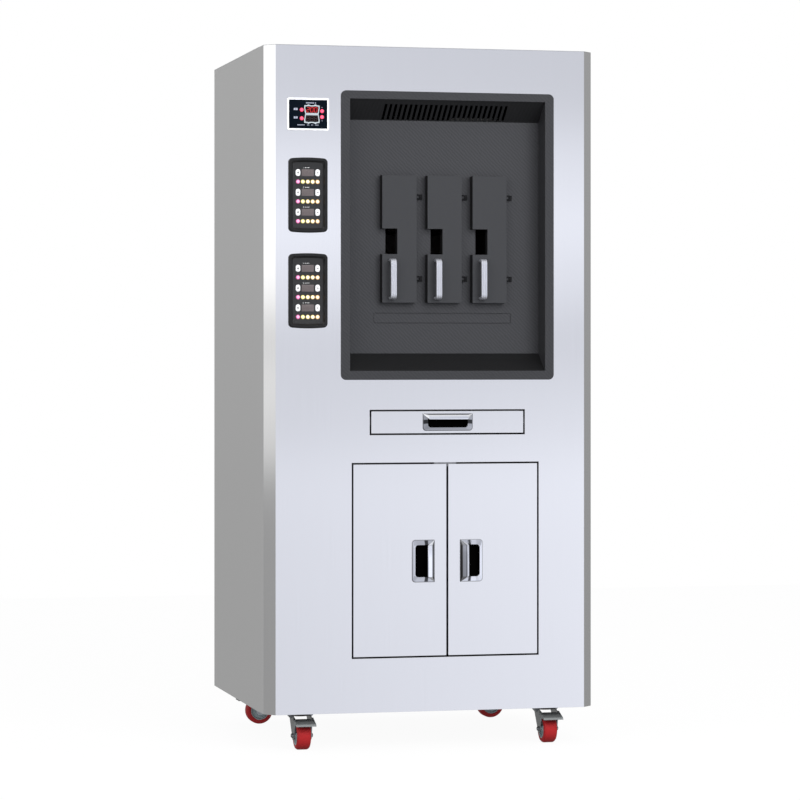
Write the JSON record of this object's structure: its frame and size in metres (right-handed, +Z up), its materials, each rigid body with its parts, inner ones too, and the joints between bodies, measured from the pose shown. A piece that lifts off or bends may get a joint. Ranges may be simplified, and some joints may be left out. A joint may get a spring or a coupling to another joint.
{
  "type": "electric fish roaster",
  "caption": "Stainless cabinet on braked castors that roasts fish upright behind notched doors in a black hearth, with timers, a drip drawer and a storage cupboard below.",
  "frame": {"origin": "middle of the outer box's underside, on the floor", "axes": "+Z up, the front with the hearth faces -Y, +X to the viewer's right"},
  "size_m": [0.9, 0.805, 1.9],
  "materials": {
    "front_sheet": "fine vertical brushed grain",
    "side_sheet": "fine vertical brushed grain",
    "back_sheet": "mill finish",
    "frame_steel": "zinc primer",
    "hearth_black": "black enamel with a fine diagonal emboss",
    "chamber_steel": "heat-dulled",
    "mineral_wool": "matte fibre",
    "element_sheath": "oxidised sheath",
    "probe_steel": "ground",
    "duct_steel": "galvanised",
    "liner_steel": "mill finish",
    "switchgear_plastic": "matte",
    "gland_plastic": "matte",
    "controller_plastic": "smooth",
    "timer_plastic": "satin",
    "lamp_glow": "lit",
    "hinge_black": "satin",
    "screw_steel": "zinc",
    "castor_zinc": "zinc plate",
    "tray_steel": "mill finish",
    "pull_chrome": "polished",
    "roast_door_black": "satin black",
    "handle_steel": "satin, ridged along the grip",
    "key_white": "smooth",
    "tyre_red": "polyurethane tread on a grey hub",
    "pedal_zinc": "zinc plate"
  },
  "bodies": {
    "cabinet": {"front_panel": "front_sheet", "left_side_panel": "side_sheet", "right_side_panel": "side_sheet", "back_panel": "back_sheet", "top_panel": "back_sheet", "base_frame": "frame_steel", "hearth_recess": "hearth_black", "roasting_chamber": "chamber_steel", "chamber_insulation": "mineral_wool", "heating_elements": "element_sheath", "temperature_probe": "probe_steel", "fume_duct": "duct_steel", "drip_chute": "duct_steel", "cupboard_liner": "liner_steel", "switchgear": "switchgear_plastic", "cable_gland": "gland_plastic", "temperature_controller": "controller_plastic", "timer_housings": "timer_plastic", "timer_indicators": "lamp_glow", "drawer_rails": "frame_steel", "door_hinges": "hinge_black", "panel_screws": "screw_steel", "castor_plates": "castor_zinc"},
    "roasting_door_1": {"roast_door_1": "roast_door_black", "roast_handle_1": "handle_steel"},
    "roasting_door_2": {"roast_door_2": "roast_door_black", "roast_handle_2": "handle_steel"},
    "roasting_door_3": {"roast_door_3": "roast_door_black", "roast_handle_3": "handle_steel"},
    "drawer": {"drawer_front": "front_sheet", "drawer_tray": "tray_steel", "drawer_pull": "pull_chrome"},
    "left_cupboard_door": {"left_door": "front_sheet", "left_door_pull": "pull_chrome"},
    "right_cupboard_door": {"right_door": "front_sheet", "right_door_pull": "pull_chrome"},
    "timer_1_minus_key": {"timer_1_minus_key": "key_white"},
    "timer_1_plus_key": {"timer_1_plus_key": "key_white"},
    "timer_2_minus_key": {"timer_2_minus_key": "key_white"},
    "timer_2_plus_key": {"timer_2_plus_key": "key_white"},
    "timer_3_minus_key": {"timer_3_minus_key": "key_white"},
    "timer_3_plus_key": {"timer_3_plus_key": "key_white"},
    "timer_4_minus_key": {"timer_4_minus_key": "key_white"},
    "timer_4_plus_key": {"timer_4_plus_key": "key_white"},
    "timer_5_minus_key": {"timer_5_minus_key": "key_white"},
    "timer_5_plus_key": {"timer_5_plus_key": "key_white"},
    "timer_6_minus_key": {"timer_6_minus_key": "key_white"},
    "timer_6_plus_key": {"timer_6_plus_key": "key_white"},
    "castor_fork_front_left": {"castor_fork_front_left": "castor_zinc"},
    "castor_wheel_front_left": {"castor_wheel_front_left": "tyre_red"},
    "brake_pedal_front_left": {"brake_pedal_front_left": "pedal_zinc"},
    "castor_fork_front_right": {"castor_fork_front_right": "castor_zinc"},
    "castor_wheel_front_right": {"castor_wheel_front_right": "tyre_red"},
    "brake_pedal_front_right": {"brake_pedal_front_right": "pedal_zinc"},
    "castor_fork_rear_left": {"castor_fork_rear_left": "castor_zinc"},
    "castor_wheel_rear_left": {"castor_wheel_rear_left": "tyre_red"},
    "brake_pedal_rear_left": {"brake_pedal_rear_left": "pedal_zinc"},
    "castor_fork_rear_right": {"castor_fork_rear_right": "castor_zinc"},
    "castor_wheel_rear_right": {"castor_wheel_rear_right": "tyre_red"},
    "brake_pedal_rear_right": {"brake_pedal_rear_right": "pedal_zinc"}
  },
  "joints": [
    {"name": "roast_door_1_hinge", "type": "hinge", "parent": "cabinet", "child": "roasting_door_1", "pos_m": [-0.027, -0.3375, 1.3535], "axis": [0, 0, 1], "range_deg": [0, 90]},
    {"name": "roast_door_2_hinge", "type": "hinge", "parent": "cabinet", "child": "roasting_door_2", "pos_m": [0.097, -0.3375, 1.3535], "axis": [0, 0, 1], "range_deg": [0, 90]},
    {"name": "roast_door_3_hinge", "type": "hinge", "parent": "cabinet", "child": "roasting_door_3", "pos_m": [0.221, -0.3375, 1.3535], "axis": [0, 0, 1], "range_deg": [0, 90]},
    {"name": "drawer_slide", "type": "slide", "parent": "cabinet", "child": "drawer", "axis": [0, -1, 0], "range_m": [0, 0.4]},
    {"name": "left_door_hinge", "type": "hinge", "parent": "cabinet", "child": "left_cupboard_door", "pos_m": [-0.2065, -0.3815, 0.5015], "axis": [0, 0, -1], "range_deg": [0, 105]},
    {"name": "right_door_hinge", "type": "hinge", "parent": "cabinet", "child": "right_cupboard_door", "pos_m": [0.2845, -0.3815, 0.5015], "axis": [0, 0, 1], "range_deg": [0, 105]},
    {"name": "timer_1_minus_key_press", "type": "slide", "parent": "cabinet", "child": "timer_1_minus_key", "axis": [0, 1, 0], "range_m": [0, 0.0012], "stiffness_N_per_m": 400, "springref_m": -0.0005},
    {"name": "timer_1_plus_key_press", "type": "slide", "parent": "cabinet", "child": "timer_1_plus_key", "axis": [0, 1, 0], "range_m": [0, 0.0012], "stiffness_N_per_m": 400, "springref_m": -0.0005},
    {"name": "timer_2_minus_key_press", "type": "slide", "parent": "cabinet", "child": "timer_2_minus_key", "axis": [0, 1, 0], "range_m": [0, 0.0012], "stiffness_N_per_m": 400, "springref_m": -0.0005},
    {"name": "timer_2_plus_key_press", "type": "slide", "parent": "cabinet", "child": "timer_2_plus_key", "axis": [0, 1, 0], "range_m": [0, 0.0012], "stiffness_N_per_m": 400, "springref_m": -0.0005},
    {"name": "timer_3_minus_key_press", "type": "slide", "parent": "cabinet", "child": "timer_3_minus_key", "axis": [0, 1, 0], "range_m": [0, 0.0012], "stiffness_N_per_m": 400, "springref_m": -0.0005},
    {"name": "timer_3_plus_key_press", "type": "slide", "parent": "cabinet", "child": "timer_3_plus_key", "axis": [0, 1, 0], "range_m": [0, 0.0012], "stiffness_N_per_m": 400, "springref_m": -0.0005},
    {"name": "timer_4_minus_key_press", "type": "slide", "parent": "cabinet", "child": "timer_4_minus_key", "axis": [0, 1, 0], "range_m": [0, 0.0012], "stiffness_N_per_m": 400, "springref_m": -0.0005},
    {"name": "timer_4_plus_key_press", "type": "slide", "parent": "cabinet", "child": "timer_4_plus_key", "axis": [0, 1, 0], "range_m": [0, 0.0012], "stiffness_N_per_m": 400, "springref_m": -0.0005},
    {"name": "timer_5_minus_key_press", "type": "slide", "parent": "cabinet", "child": "timer_5_minus_key", "axis": [0, 1, 0], "range_m": [0, 0.0012], "stiffness_N_per_m": 400, "springref_m": -0.0005},
    {"name": "timer_5_plus_key_press", "type": "slide", "parent": "cabinet", "child": "timer_5_plus_key", "axis": [0, 1, 0], "range_m": [0, 0.0012], "stiffness_N_per_m": 400, "springref_m": -0.0005},
    {"name": "timer_6_minus_key_press", "type": "slide", "parent": "cabinet", "child": "timer_6_minus_key", "axis": [0, 1, 0], "range_m": [0, 0.0012], "stiffness_N_per_m": 400, "springref_m": -0.0005},
    {"name": "timer_6_plus_key_press", "type": "slide", "parent": "cabinet", "child": "timer_6_plus_key", "axis": [0, 1, 0], "range_m": [0, 0.0012], "stiffness_N_per_m": 400, "springref_m": -0.0005},
    {"name": "front_left_castor_swivel", "type": "hinge", "parent": "cabinet", "child": "castor_fork_front_left", "pos_m": [-0.338, -0.2925, 0.098], "axis": [0, 0, 1], "continuous": true},
    {"name": "front_left_wheel_roll", "type": "hinge", "parent": "castor_fork_front_left", "child": "castor_wheel_front_left", "pos_m": [-0.338, -0.3225, 0.0375], "axis": [1, 0, 0], "continuous": true},
    {"name": "front_left_brake_pedal", "type": "hinge", "parent": "castor_fork_front_left", "child": "brake_pedal_front_left", "pos_m": [-0.338, -0.3405, 0.08], "axis": [1, 0, 0], "range_deg": [0, 10]},
    {"name": "front_right_castor_swivel", "type": "hinge", "parent": "cabinet", "child": "castor_fork_front_right", "pos_m": [0.338, -0.2925, 0.098], "axis": [0, 0, 1], "continuous": true},
    {"name": "front_right_wheel_roll", "type": "hinge", "parent": "castor_fork_front_right", "child": "castor_wheel_front_right", "pos_m": [0.338, -0.3225, 0.0375], "axis": [1, 0, 0], "continuous": true},
    {"name": "front_right_brake_pedal", "type": "hinge", "parent": "castor_fork_front_right", "child": "brake_pedal_front_right", "pos_m": [0.338, -0.3405, 0.08], "axis": [1, 0, 0], "range_deg": [0, 10]},
    {"name": "rear_left_castor_swivel", "type": "hinge", "parent": "cabinet", "child": "castor_fork_rear_left", "pos_m": [-0.309, 0.2825, 0.098], "axis": [0, 0, 1], "continuous": true},
    {"name": "rear_left_wheel_roll", "type": "hinge", "parent": "castor_fork_rear_left", "child": "castor_wheel_rear_left", "pos_m": [-0.339, 0.2825, 0.0375], "axis": [0, -1, 0], "continuous": true},
    {"name": "rear_left_brake_pedal", "type": "hinge", "parent": "castor_fork_rear_left", "child": "brake_pedal_rear_left", "pos_m": [-0.357, 0.2825, 0.08], "axis": [0, -1, 0], "range_deg": [0, 10]},
    {"name": "rear_right_castor_swivel", "type": "hinge", "parent": "cabinet", "child": "castor_fork_rear_right", "pos_m": [0.309, 0.2825, 0.098], "axis": [0, 0, 1], "continuous": true},
    {"name": "rear_right_wheel_roll", "type": "hinge", "parent": "castor_fork_rear_right", "child": "castor_wheel_rear_right", "pos_m": [0.339, 0.2825, 0.0375], "axis": [0, 1, 0], "continuous": true},
    {"name": "rear_right_brake_pedal", "type": "hinge", "parent": "castor_fork_rear_right", "child": "brake_pedal_rear_right", "pos_m": [0.357, 0.2825, 0.08], "axis": [0, 1, 0], "range_deg": [0, 10]}
  ]
}
